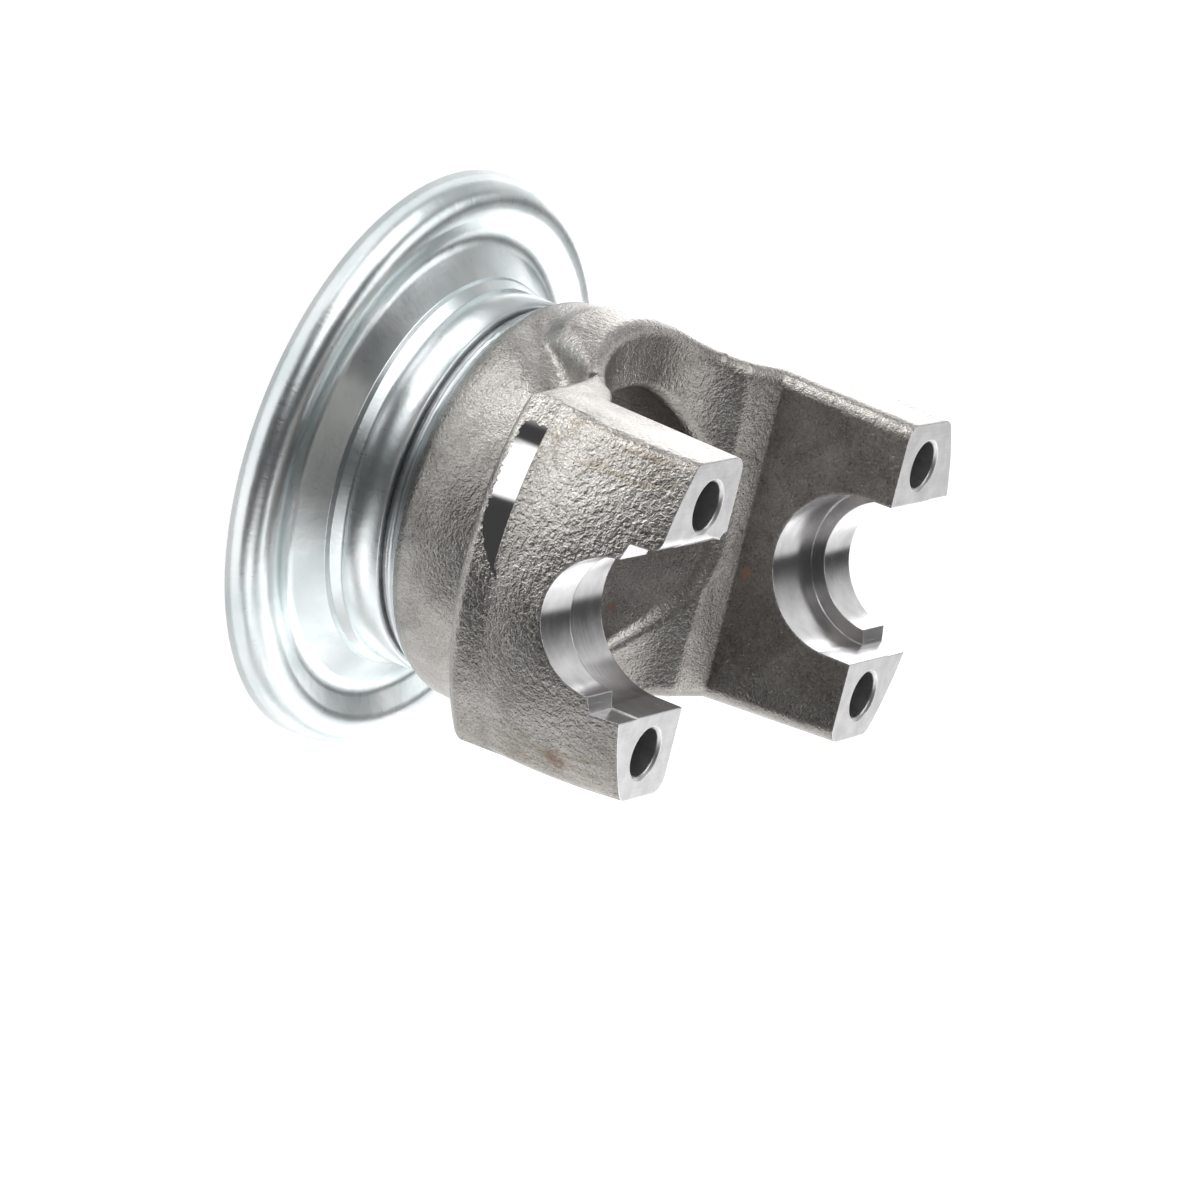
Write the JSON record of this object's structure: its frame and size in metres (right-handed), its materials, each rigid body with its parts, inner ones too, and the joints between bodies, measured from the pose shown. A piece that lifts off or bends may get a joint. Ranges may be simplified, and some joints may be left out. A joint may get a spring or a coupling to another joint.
{
  "type": "pinion end yoke",
  "caption": "Forged pinion end yoke whose ears hold half-round bearing cap seats, on a turned, splined hub that carries a pressed dust deflector.",
  "frame": {"origin": "centre of the rear end face of the hub, on the pinion axis", "axes": "+Z along the pinion axis from the hub towards the ears, +Y along the trunnion line of the cross, +X across both"},
  "size_m": [0.1094, 0.1124, 0.0963],
  "materials": {
    "forged_steel": "shot-blasted as forged, with turned hub and milled seats and lug faces",
    "zinc_plated_sheet": "pressed sheet steel, bright zinc plated"
  },
  "bodies": {
    "root": {"end_yoke": "forged_steel", "dust_deflector": "zinc_plated_sheet"}
  },
  "joints": []
}
